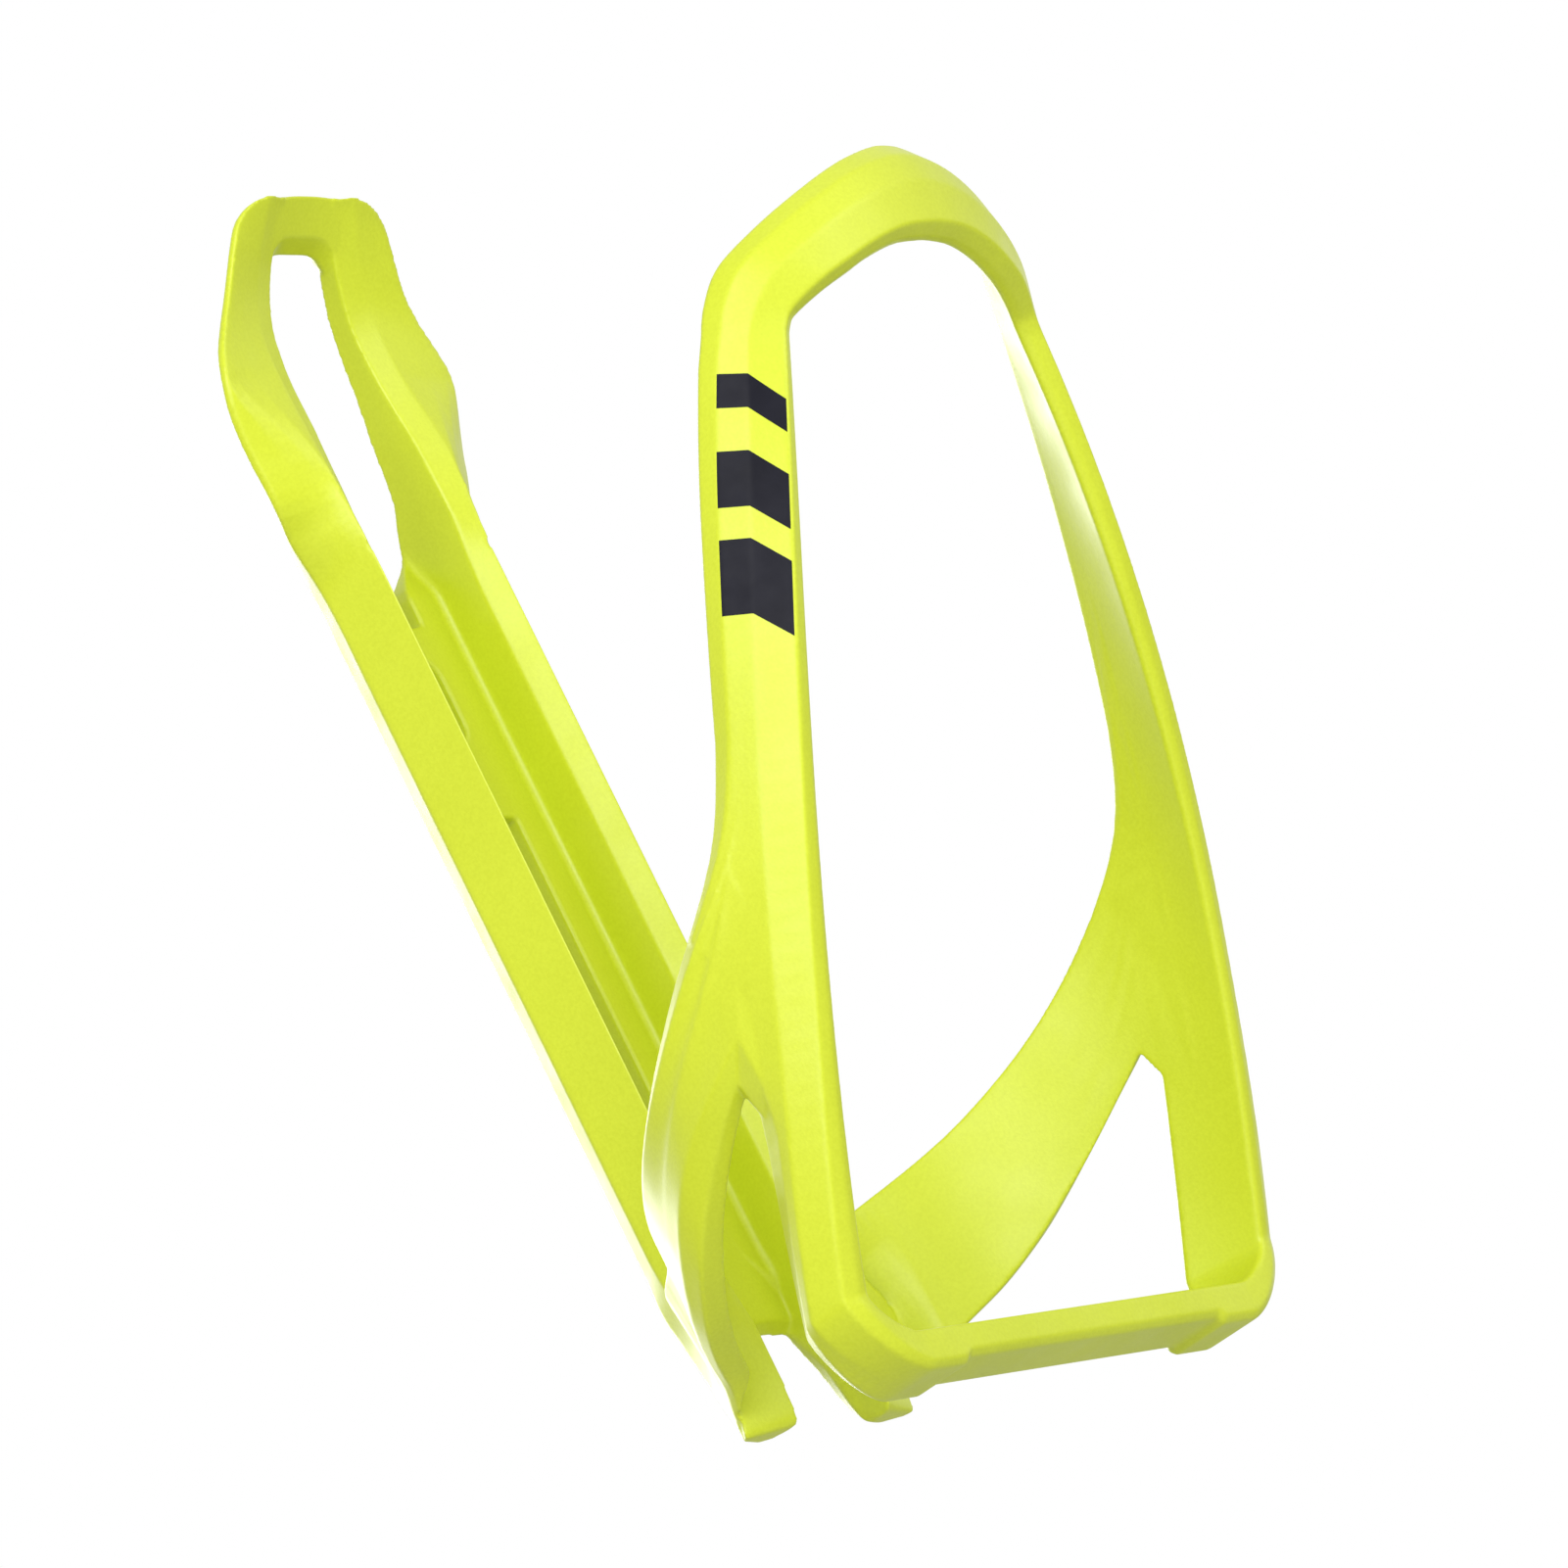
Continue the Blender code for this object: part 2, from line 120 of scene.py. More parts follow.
UPRIGHT_SPAN = 16.6
UPRIGHT_TOP_ANGLE = 35.6
UPRIGHT_FOOT_ANGLE = 94.1
SHOULDER_HEIGHT = 74.5
SHOULDER_LENGTH = 16.2
SHOULDER_NARROWING = 0.9
FOOT_NARROWING = 0.9
FOOT_LENGTH = 30.0
FOOT_SWELL = 1.12
TOP_SWELL = 0.88
HOOP_SWELL = 1.05
FOOT_HEIGHT = -17.5
BAND_ROOT_TOP = 4.3
BAND_WAIST = 38.0
BAND_TOP = 48.0
BAND_UPPER_SHAPE = ((0.0, 0.0), (0.11, 0.3), (0.35, 0.62), (0.6, 0.84), (0.85, 0.98), (1.0, 1.05))
BAND_SINK = 3.3
BAND_SINK_STEPS = 22
FLARE_END = 14.0
FLARE_SLOPE = 1.2
BURY = 4.5
BAND_START_RISE = 0.93
BAND_BEVEL = 2.1
BAND_BELLY = 0.6
BAND_START_BEVEL = 0.1
BAND_FILL_START = 8
BAND_FILL_STEPS = 14
CREASE_RISE = (3.0, 3.5)
BAND_EDGE = (1.75, 2.6)
BAND_EDGE_SHARE = (0.26, 0.06)
BAND_EDGE_ANGLES = (100.0, 125.0)
BAND_END = 8.4
ROOT_ANGLE = 149.0
ROOT_THICKENING = 4.0
ROOT_EDGE = 1.3
ROOT_LOWER_EDGE = 4.1
ROOT_HOLLOW = 8.0
BAR_UNDERSIDE = -25.35
BAR_THICKNESS = 3.6
BAR_FRONT = 3.2
BAR_DEPTH = 7.8
BLOCK_START = 23.8
BLOCK_PROUD = 0.7
BLOCK_RAMP = (0.6, 0.4)
BEND_START = 30.0
BEND_SHARPNESS = 1.5

AXIS_Y = -(SPINE_DEPTH + math.sqrt(BOTTLE_RADIUS ** 2 - SPINE_HALF_WIDTH ** 2) - GRIP)
UPRIGHT_RISE = SHOULDER_HEIGHT - FOOT_HEIGHT
BOTTLE_ARC = BOTTLE_RADIUS * math.radians(1.0)
ROOT_END_ANGLE = 180.0 - math.degrees(math.asin(BAND_END / BOTTLE_RADIUS))

# Edges of the hoop from the shoulder to the crest, as (angle, height)
HOOP_OUTER = [
    (48.6, 77.6), (46.4, 80.2), (41.8, 83.6), (34.0, 86.2),
    (23.8, 88.9), (13.0, 91.4), (4.0, 92.8), (0.0, 93.0),
]
HOOP_INNER = [
    (35.0, 75.1), (33.3, 76.2), (27.0, 77.9), (21.0, 79.2),
    (15.7, 80.4), (8.0, 81.6), (0.0, 81.9),
]

# Lower edge of a band from the apex of the side hole back to the spine, and the crease of its bevel
BAND_LOWER = [
    (99.0, 6.5), (105.6, 3.6), (113.0, 0.3), (120.5, -2.9),
    (128.0, -6.0), (136.0, -8.8), (145.0, -11.2), (152.0, -13.2), (159.0, -16.2),
]
BAND_CREASE = [
    (92.0, 11.4), (96.0, 10.0), (103.4, 7.7), (110.9, 5.2), (118.3, 2.0),
    (124.0, -0.5), (130.0, -3.3), (136.0, -6.0), (146.0, -9.2), (154.0, -12.2), (160.6, -16.2),
]

# Corner of the side hole below the apex, on the inside and at the top of the bevel
HOLE_CORNER = (97.0, 3.2)
HOLE_CORNER_CREASE = (91.4, 3.7)

# Printed stripes on the left upright: heights of their edges at the back, and how far they fall
STRIPES = ((72.8, 69.5), (65.3, 59.9), (56.8, 49.6))
STRIPE_END = 0.9
STRIPE_FALL = (1.4, 3.9)
STRIPE_LIFT = 0.04
STRIPE_DEPTH = 0.25
STRIPE_CLEARANCE = 12.0

# Fineness of the sweeps and of the fused skin
CORNER_STEPS = 14
UPRIGHT_STEPS = 46
HOOP_STEPS = 40
SWELL_STEPS = 12
BAND_STEPS = 60
TAB_STEPS = 40
WING_STEPS = 48
HEAD_STEPS = 16
BRIDGE_STEPS = 16
VOXEL = 0.22
SMOOTH_ROUNDS = 10


def lerp(start, end, share):
    return start + (end - start) * share


def mix(first, second, share):
    return tuple(lerp(a, b, share) for a, b in zip(first, second))


def ease(share):
    share = min(1.0, max(0.0, share))
    return share * share * (3.0 - 2.0 * share)


def smooth_path(points, count):
    """Evenly stepped points on a Catmull-Rom curve through the given points."""
    ends = [mix(points[1], points[0], 2.0)] + list(points) + [mix(points[-2], points[-1], 2.0)]
    fine = []
    steps = 16
    for index in range(1, len(ends) - 2):
        before, here, after, beyond = ends[index - 1:index + 3]
        for step in range(steps):
            t = step / steps
            weights = (
                -0.5 * t + t ** 2 - 0.5 * t ** 3,
                1.0 - 2.5 * t ** 2 + 1.5 * t ** 3,
                0.5 * t + 2.0 * t ** 2 - 1.5 * t ** 3,
                -0.5 * t ** 2 + 0.5 * t ** 3,
            )
            rows = zip(before, here, after, beyond)
            fine.append(tuple(sum(w * v for w, v in zip(weights, row)) for row in rows))
    fine.append(tuple(points[-1]))
    reach = [0.0]
    for a, b in zip(fine[:-1], fine[1:]):
        reach.append(reach[-1] + math.dist(a, b))
    path = []
    index = 0
    for step in range(count):
        wanted = reach[-1] * step / (count - 1)
        while index < len(fine) - 2 and reach[index + 1] < wanted:
            index += 1
        span = reach[index + 1] - reach[index]
        path.append(mix(fine[index], fine[index + 1], (wanted - reach[index]) / span))
    return path


def on_bottle(angle, radius, height):
    """A point round the bottle: angle 0 is the front and 180 is the spine."""
    turn = math.radians(angle)
    return (radius * math.sin(turn), AXIS_Y - radius * math.cos(turn), height)


def mirrored(ring):
    return [(-x, y, z) for x, y, z in ring]


def add_sweep(build, rings, closed=False):
    """Adds a closed solid through rings of points to a mesh being built."""
    loops = [[build.verts.new(Vector(point) * MM) for point in ring] for ring in rings]
    size = len(rings[0])
    pairs = list(zip(loops[:-1], loops[1:]))
    if closed:
        pairs.append((loops[-1], loops[0]))
    faces = []
    for lower, upper in pairs:
        for index in range(size):
            follow = (index + 1) % size
            faces.append(build.faces.new((lower[index], lower[follow], upper[follow], upper[index])))
    if not closed:
        faces.append(build.faces.new(loops[0]))
        faces.append(build.faces.new(loops[-1]))
    bmesh.ops.recalc_face_normals(build, faces=faces)


def strap_section(back, front, swell, deep=0.0, flare=0.0):
    """Section of the loop between two (angle, height) edges: bevel, facet, ridge, facet, bevel.

    Beside the side hole the bevel along the back edge is deep. A flare moves the back edge and
    its bevel outwards by an angle and leaves the ridge where it is.
    """
    bevel = lerp(BEVEL_SHARE, HOLE_BEVEL_SHARE, deep)
    step = lerp(EDGE_STEP, HOLE_EDGE, deep)
    outline = (
        (BLUNT_SHARE, 0.0),
        (0.0, EDGE_BLUNT),
        (0.0, step),
        (bevel, WALL),
        (RIDGE_SHARE, WALL + RIDGE_RISE),
        (FRONT_BEVEL_SHARE, WALL),
        (1.0, EDGE_STEP),
        (1.0, EDGE_BLUNT),
        (1.0 - BLUNT_SHARE, 0.0),
    ) + tuple((across, 0.0) for across in INNER_SHARES)
    ring = []
    for across, rise in outline:
        angle, height = mix(back, front, across)
        if across <= bevel:
            angle += flare
        ring.append(on_bottle(angle, BOTTLE_RADIUS + rise * swell, height))
    return ring


def upright_front_angle(height):
    return lerp(UPRIGHT_FOOT_ANGLE, UPRIGHT_TOP_ANGLE, (height - FOOT_HEIGHT) / UPRIGHT_RISE)


def upright_back(height):
    into_shoulder = max(0.0, 1.0 - (SHOULDER_HEIGHT - height) / SHOULDER_LENGTH)
    into_foot = max(0.0, 1.0 - (height - FOOT_HEIGHT) / FOOT_LENGTH)
    span = UPRIGHT_SPAN - SHOULDER_NARROWING * into_shoulder ** 2 - FOOT_NARROWING * into_foot
    return (upright_front_angle(height) + span, height)


def upright_front(height):
    return (upright_front_angle(height), height)


def band_upper(count):
    """The band's upper edge, which runs on from the upright's back edge."""
    waist = upright_back(BAND_WAIST)
    points = [upright_back(BAND_TOP), upright_back((BAND_TOP + BAND_WAIST) / 2)]
    for turn, climb in BAND_UPPER_SHAPE:
        points.append((lerp(waist[0], ROOT_END_ANGLE, turn), lerp(BAND_WAIST, BAND_ROOT_TOP, climb)))
    return smooth_path(points, count)


def upright_flare(height):
    """How far the upright's back edge follows the band's upper edge at this height."""
    plain = upright_back(height)[0]
    limit = max(0.0, FLARE_SLOPE * (height - FLARE_END))
    path = band_upper(BAND_STEPS)
    for above, below in zip(path, path[1:]):
        if below[1] <= height <= above[1]:
            share = (above[1] - height) / (above[1] - below[1])
            return min(limit, max(0.0, lerp(above[0], below[0], share) - plain))
    return 0.0


def upright_section(height):
    """Section of an upright, thickest at its foot."""
    swell = lerp(FOOT_SWELL, TOP_SWELL, ease((height - FOOT_HEIGHT) / FOOT_LENGTH))
    deep = ease((HOLE_TOP - height) / HOLE_TOP)
    return strap_section(upright_back(height), upright_front(height), swell, deep, upright_flare(height))


def bar_section(x, proud):
    """Section of the cross bar, in the same order of points as the strap's section."""
    front = AXIS_Y + BAR_FRONT
    back = front + BAR_DEPTH + proud
    bottom = BAR_UNDERSIDE - proud
    top = BAR_UNDERSIDE + BAR_THICKNESS
    bevel = EDGE_STEP / 2
    return [
        (x, back - EDGE_BLUNT, top),
        (x, back, top - EDGE_BLUNT),
        (x, back, bottom + bevel),
        (x, back - bevel, bottom),
        (x, lerp(back, front, RIDGE_SHARE), bottom),
        (x, front + bevel, bottom),
        (x, front, bottom + bevel),
        (x, front, top - EDGE_BLUNT),
        (x, front + EDGE_BLUNT, top),
    ] + [(x, lerp(back, front, across), top) for across in INNER_SHARES]


def corner_rings(count):
    """The bend from an upright's foot round into the bar."""
    foot = upright_section(FOOT_HEIGHT)
    end = bar_section(BEND_START, BLOCK_PROUD)
    rings = []
    for step in range(count):
        turn = math.pi / 2 * step / (count - 1)
        ring = []
        for high, low in zip(foot, end):
            x = lerp(low[0], high[0], max(0.0, math.cos(turn)) ** (2.0 / BEND_SHARPNESS))
            y = lerp(high[1], low[1], ease(turn / (math.pi / 2)))
            z = lerp(high[2], low[2], math.sin(turn) ** (2.0 / BEND_SHARPNESS))
            ring.append((x, y, z))
        rings.append(ring)
    return rings


def loop_rings():
    """Rings right round the loop: bar, right corner, right upright, hoop and the left side."""
    half = [bar_section(0.0, 0.0)]
    half.append(bar_section(BLOCK_START - BLOCK_RAMP[0], 0.0))
    half.append(bar_section(BLOCK_START + BLOCK_RAMP[1], BLOCK_PROUD))
    half += corner_rings(CORNER_STEPS)[::-1]
    for step in range(1, UPRIGHT_STEPS):
        height = lerp(FOOT_HEIGHT, SHOULDER_HEIGHT, step / UPRIGHT_STEPS)
        half.append(upright_section(height))
    outer = smooth_path([upright_back(SHOULDER_HEIGHT)] + HOOP_OUTER, HOOP_STEPS)
    inner = smooth_path([upright_front(SHOULDER_HEIGHT)] + HOOP_INNER, HOOP_STEPS)
    for step, (a, b) in enumerate(zip(outer, inner)):
        half.append(strap_section(a, b, lerp(TOP_SWELL, HOOP_SWELL, ease(step / SWELL_STEPS))))
    return half + [mirrored(ring) for ring in half[-2:0:-1]]


def band_section(upper, shoulder, crease, lower, root, fill):
    """Section of a band: plain outside with a wide bevel along its lower edge.

    Towards the root it thickens backwards, most along its upper edge.
    """
    start, end = BAND_EDGE_ANGLES
    grown = ease((crease[0] - start) / (end - start))
    edge = mix(lower, crease, lerp(*BAND_EDGE_SHARE, grown))
    outside = (
        (upper, EDGE_STEP * fill, ROOT_THICKENING),
        (shoulder, WALL * fill, ROOT_THICKENING),
        (mix(upper, crease, BAND_BELLY), WALL * fill, lerp(ROOT_THICKENING, ROOT_EDGE, BAND_BELLY)),
        (crease, lerp(*CREASE_RISE, grown) * fill, ROOT_EDGE),
        (edge, lerp(*BAND_EDGE, grown) * fill, ROOT_EDGE),
    )
    ring = [on_bottle(upper[0], BOTTLE_RADIUS, upper[1])]
    for spot, rise, growth in outside:
        ring.append(on_bottle(spot[0], BOTTLE_RADIUS + rise + growth * root ** 2, spot[1]))
    for across in (1.0, 0.75, 0.5, 0.25):
        angle, height = mix(upper, lower, across)
        hollow = ROOT_LOWER_EDGE * across + ROOT_HOLLOW * across * (1.0 - across)
        ring.append(on_bottle(angle, BOTTLE_RADIUS + hollow * root, height))
    return ring


def band_shoulder(upper, before, after):
    """The inner line of the bevel along a band's upper edge, square to that edge."""
    along = (after[0] - before[0]) * BOTTLE_ARC
    down = after[1] - before[1]
    scale = BAND_BEVEL / math.hypot(along, down)
    return (upper[0] + down * scale / BOTTLE_ARC, upper[1] - along * scale)


def band_rings():
    """The strap from the upright's waist back to the spine, thickening into its root."""
    path = band_upper(BAND_STEPS)
    creases = smooth_path(BAND_CREASE, BAND_STEPS)
    lowers = smooth_path(BAND_LOWER, BAND_STEPS)
    rings = []
    for back in (BURY, 0.0):
        height = BAND_TOP + back
        upper = (upright_back(height)[0] - BURY, height)
        crease = (HOLE_CORNER_CREASE[0] - back, HOLE_CORNER_CREASE[1] - back)
        lower = (HOLE_CORNER[0] - back, HOLE_CORNER[1] - back)
        shoulder = mix(upper, crease, BAND_START_BEVEL)
        rings.append(band_section(upper, shoulder, crease, lower, 0.0, BAND_START_RISE))
    for step, (edge, crease, lower) in enumerate(zip(path, creases, lowers)):
        root = ease((edge[0] - ROOT_ANGLE) / (ROOT_END_ANGLE - ROOT_ANGLE))
        upper = (edge[0] - BAND_SINK * (1.0 - ease(step / BAND_SINK_STEPS)), edge[1])
        before = path[max(0, step - 1)]
        after = path[min(BAND_STEPS - 1, step + 1)]
        shoulder = band_shoulder(upper, before, after)
        fill = lerp(BAND_START_RISE, 1.0, ease((step - BAND_FILL_START) / BAND_FILL_STEPS))
        rings.append(band_section(upper, shoulder, crease, lower, root, fill))
    return rings


def rail_row(z, ridge, inner, floor, lip, rear, side, edge, corner=None):
    """Section of the right rail: ridge, chamfer, inner wall, floor lip, back, bevel and outer side."""
    wall_foot = inner[0] + WALL_DRAFT
    fillet = min(FLOOR_FILLET, max(0.0, (wall_foot - lip[0]) / 2))
    middle = corner or mix(side, ridge, 0.5)
    face = []
    for share in (0.25, 0.5, 0.75):
        here = mix(mix(side, middle, share), mix(middle, ridge, share), share)
        face.append((here[0], here[1], z))
    return [
        (ridge[0], ridge[1], z),
        (inner[0], inner[1], z),
        (wall_foot, floor - fillet, z),
        (wall_foot - fillet, floor, z),
        (lip[0], floor, z),
        (lip[0], lip[1], z),
        (rear[0], rear[1], z),
        (side[0], side[1] + edge, z),
        (side[0], side[1], z),
    ] + face


def straight_row(z):
    """Section of the right rail where it runs straight."""
    ridge = (SPINE_HALF_WIDTH + RIDGE_PROUD[0], -SPINE_DEPTH - RIDGE_PROUD[1])
    inner = (SPINE_HALF_WIDTH - SPINE_CHAMFER_WIDTH, SPINE_CHAMFER_DEPTH - SPINE_DEPTH)
    rear = (SPINE_HALF_WIDTH - REAR_BEVEL_WIDTH, 0.0)
    side = (SPINE_HALF_WIDTH, -REAR_BEVEL_DEPTH)
    return rail_row(z, ridge, inner, -FLOOR_THICKNESS, (LIP_HALF_GAP, 0.0), rear, side, RAIL_EDGE)


def tab_rows():
    """The lower end of a rail: the floor stops and the wall runs on down as a tab.

    Each line: height, front outer edge, inner edge depth, inner rear, outer rear, outer side.
    """
    shape = [
        (-17.5, 15.5, -8.0, -9.6, 9.2, -7.0, 11.2, -6.4, 14.6, -7.2),
        (-16.8, 15.5, -8.2, -10.2, 8.8, -6.1, 10.8, -5.4, 14.6, -7.2),
        (-14.8, 15.1, -8.7, -10.5, 8.6, -5.6, 10.3, -4.2, 14.5, -7.3),
        (-12.2, 15.4, -9.5, -10.6, 8.6, -5.2, 10.1, -3.4, 14.6, -7.6),
        (-9.5, 16.0, -10.6, -10.6, 8.6, -4.7, 9.8, -2.9, 14.8, -7.9),
        (-6.0, 15.6, -11.2, -10.6, 8.6, -3.3, 9.3, -2.0, 14.0, -7.6),
        (-3.0, 13.6, -11.5, -10.3, 8.6, -1.4, 9.1, -1.4, 12.6, -6.4),
        (0.5, 11.4, -11.7, -9.9, 8.6, -0.6, 8.9, -0.8, 11.2, -4.6),
        (5.0, 10.6, -11.8, -9.3, 6.0, -0.1, 7.6, -0.1, 10.5, -3.6),
    ]
    rows = []
    for row in smooth_path(shape, TAB_STEPS):
        z, front_x, front_y, inner_y, lip_x, lip_y, rear_x, rear_y, side_x, side_y = row
        inner = (SPINE_HALF_WIDTH - SPINE_CHAMFER_WIDTH - TAB_INSET * ease(-z / TAB_FADE), inner_y)
        floor = lip_y - lerp(TAB_FLOOR, FLOOR_THICKNESS, ease((z - TAB_FLOOR_END) / TAB_FADE))
        ridge = (front_x, front_y)
        rear = (rear_x, rear_y)
        side = (side_x, side_y)
        rows.append(rail_row(z, ridge, inner, floor, (lip_x, lip_y), rear, side, RAIL_EDGE))
    return rows


def head_rows():
    """The top of a rail, where it spreads into a wing.

    Each line: height, ridge, inner edge, rear depth, wing edge.
    """
    shape = [
        (79.5, 10.6, -11.8, 8.6, -9.3, 0.0, 10.5, -3.6),
        (83.7, 10.6, -11.8, 8.6, -9.3, 0.0, 10.5, -3.6),
        (88.0, 10.7, -11.8, 8.6, -9.6, -0.5, 11.2, -3.8),
        (92.3, 11.0, -11.8, 8.6, -10.1, -1.3, 14.3, -5.3),
        (95.3, 11.2, -11.9, 8.5, -10.2, -2.3, 16.7, -7.3),
        (98.3, 11.4, -11.8, 8.4, -10.2, -3.6, 17.7, -8.1),
        (101.3, 11.4, -11.6, 8.3, -10.2, -4.1, 18.5, -8.5),
        (104.3, 11.2, -11.3, 8.0, -10.1, -4.6, 19.3, -9.1),
        (107.3, 11.0, -11.0, 7.8, -9.9, -5.2, 19.9, -9.9),
        (110.3, 10.7, -10.8, 7.6, -9.8, -5.8, 19.9, -10.8),
        (113.3, 10.5, -10.8, 7.3, -9.9, -6.3, 18.9, -11.2),
        (116.3, 10.2, -11.1, 6.9, -10.2, -7.0, 17.2, -11.8),
        (119.3, 9.6, -11.9, 6.4, -11.1, -7.9, 15.6, -12.8),
        (122.3, 9.0, -13.4, 5.7, -12.4, -9.4, 14.5, -14.2),
        (124.3, 8.5, -14.7, 5.2, -13.6, -10.6, 13.8, -15.2),
        (126.3, 8.0, -16.1, 4.8, -15.1, -11.8, 12.9, -16.2),
        (127.6, 7.8, -17.1, 4.5, -16.2, -13.0, 11.5, -17.0),
        (128.4, 7.4, -17.7, 4.4, -17.0, -14.0, 9.6, -17.6),
        (128.8, 6.6, -18.0, 4.3, -17.5, -14.6, 7.6, -17.9),
    ]
    rows = []
    for row in smooth_path(shape, WING_STEPS):
        z, ridge_x, ridge_y, inner_x, inner_y, rear_y, edge_x, edge_y = row
        leave = ease((z - FLOOR_END) / FLOOR_FADE)
        floor = lerp(-FLOOR_THICKNESS, rear_y - WING_FLOOR, leave)
        lip_x = lerp(LIP_HALF_GAP, inner_x + WALL_DRAFT, leave)
        spread_out = ease((z - UPPER_BRIDGE[1]) / WING_FADE)
        rear_x = lerp(SPINE_HALF_WIDTH - REAR_BEVEL_WIDTH, inner_x + WING_REAR_INSET, spread_out)
        edge = lerp(RAIL_EDGE, WING_EDGE, ease((z - WING_EDGE_START) / WING_FADE))
        ridge = (ridge_x, ridge_y)
        inner = (inner_x, inner_y)
        rear = (rear_x, rear_y)
        side = (edge_x, edge_y)
        slide = max(WING_MIN_REACH, (edge_y - ridge_y) / WING_SLANT)
        slide = min((edge_x - ridge_x) * WING_REACH, slide)
        flat = (edge_x - slide, edge_y - WING_SLANT * slide)
        full = WING_FULLNESS * ease((z - WING_FULL_START) / WING_FADE)
        corner = mix(mix(side, ridge, 0.5), flat, full)
        rows.append(rail_row(z, ridge, inner, floor, (lip_x, rear_y), rear, side, edge, corner))
    return rows


def rail_rings():
    """The right rail from its tab up to the head."""
    rings = tab_rows()
    for z in (*STRAIGHT_HEIGHTS, UPPER_BRIDGE[0]):
        rings.append(straight_row(z))
    return rings + head_rows()


def head_rings():
    """The bar that closes the top of the spine: crowned on top and arched over the window."""
    top = [(-17.3, 129.5), (-18.1, 129.2)]
    rim = [(-15.2, 125.7), (-12.6, 124.9), (-11.8, 126.4)]
    back = [(-14.8, 129.0)]
    rings = []
    for step in range(2 * HEAD_STEPS + 1):
        across = step / HEAD_STEPS - 1.0
        x = HEAD_HALF * across
        drop = HEAD_CROWN * across ** 2
        arch = WINDOW_ROUND * min(1.0, abs(x) / WINDOW_HALF) ** 4
        bow = HEAD_INSET + HEAD_BOW * (1.0 - across ** 2)
        ring = [(x, y + HEAD_SLOPE * drop + bow, z - drop) for y, z in top]
        ring += [(x, y + HEAD_SLOPE * arch + bow, z - arch) for y, z in rim]
        ring += [(x, y + HEAD_SLOPE * drop, z - drop) for y, z in back]
        rings.append(ring)
    return rings


def add_bridge(build, lower_edge, upper_edge, slot_z):
    """A floor plate with its bolt slot, between two edges given as heights across the spine."""
    half = SPINE_HALF_WIDTH - SPINE_CHAMFER_WIDTH + BRIDGE_BITE
    rear_half = SPINE_HALF_WIDTH - REAR_BEVEL_WIDTH - BRIDGE_REAR_INSET
    steps = BRIDGE_STEPS
    outline = []
    for step in range(steps + 1):
        across = 1.0 - 2.0 * step / steps
        outline.append((half * across, upper_edge(across)))
    for step in range(steps + 1):
        across = 2.0 * step / steps - 1.0
        outline.append((half * across, lower_edge(across)))
    radius = BOLT_SLOT_WIDTH / 2
    straight = BOLT_SLOT_LENGTH / 2 - radius
    hole = []
    for centre, start in ((slot_z + straight, 0.0), (slot_z - straight, math.pi)):
        for step in range(steps + 1):
            turn = start + math.pi * step / steps
            hole.append((radius * math.cos(turn), centre + radius * math.sin(turn)))
    plate = bmesh.new()
    edges = []
    for points in (outline, hole):
        verts = [plate.verts.new((x * MM, 0.0, z * MM)) for x, z in points]
        for a, b in zip(verts, verts[1:] + verts[:1]):
            edges.append(plate.edges.new((a, b)))
    bmesh.ops.triangle_fill(plate, edges=edges, use_beauty=True, use_dissolve=False)
    result = bmesh.ops.extrude_face_region(plate, geom=plate.faces[:])
    front = {item for item in result["geom"] if isinstance(item, bmesh.types.BMVert)}
    for vert in plate.verts:
        below = max(0.0, -vert.co.z)
        if vert in front:
            vert.co.y = -FLOOR_THICKNESS * MM
            vert.co.z += FOOT_FRONT_RISE * below
        else:
            vert.co.y = -FOOT_REAR_SLOPE * below
            outward = max(0.0, (abs(vert.co.x) / MM - LIP_HALF_GAP) / (half - LIP_HALF_GAP))
            kept = max(0.0, 1.0 - below / (FOOT_WIDENING * MM))
            vert.co.x *= lerp(1.0, rear_half / half, outward * kept)
    bmesh.ops.recalc_face_normals(plate, faces=plate.faces[:])
    mesh = bpy.data.meshes.new("plate")
    plate.to_mesh(mesh)
    plate.free()
    build.from_mesh(mesh)
    bpy.data.meshes.remove(mesh)


def window_arc(across):
    return BRIDGE_HOLLOW * math.sqrt(max(0.0, 1.0 - across ** 2))


def lower_bridge_foot(across):
    rim = max(0.0, abs(across) * SPINE_HALF_WIDTH - FOOT_ARC) / (SPINE_HALF_WIDTH - FOOT_ARC)
    return LOWER_BRIDGE[0] - FOOT_FILLET * rim ** 2


def lower_bridge_top(across):
    return LOWER_BRIDGE[1] + WINDOW_LEDGE - window_arc(across)


def upper_bridge_bottom(across):
    return UPPER_BRIDGE[0] - WINDOW_LEDGE + window_arc(across)


def upper_bridge_top(across):
    return UPPER_BRIDGE[1] + TOP_LEDGE - window_arc(across)


def add_bridges(build):
    """The two floor plates: hollowed by arcs at the windows, and rounded into the tabs at the foot."""
    add_bridge(build, lower_bridge_foot, lower_bridge_top, LOWER_SLOT_Z)
    add_bridge(build, upper_bridge_bottom, upper_bridge_top, UPPER_SLOT_Z)


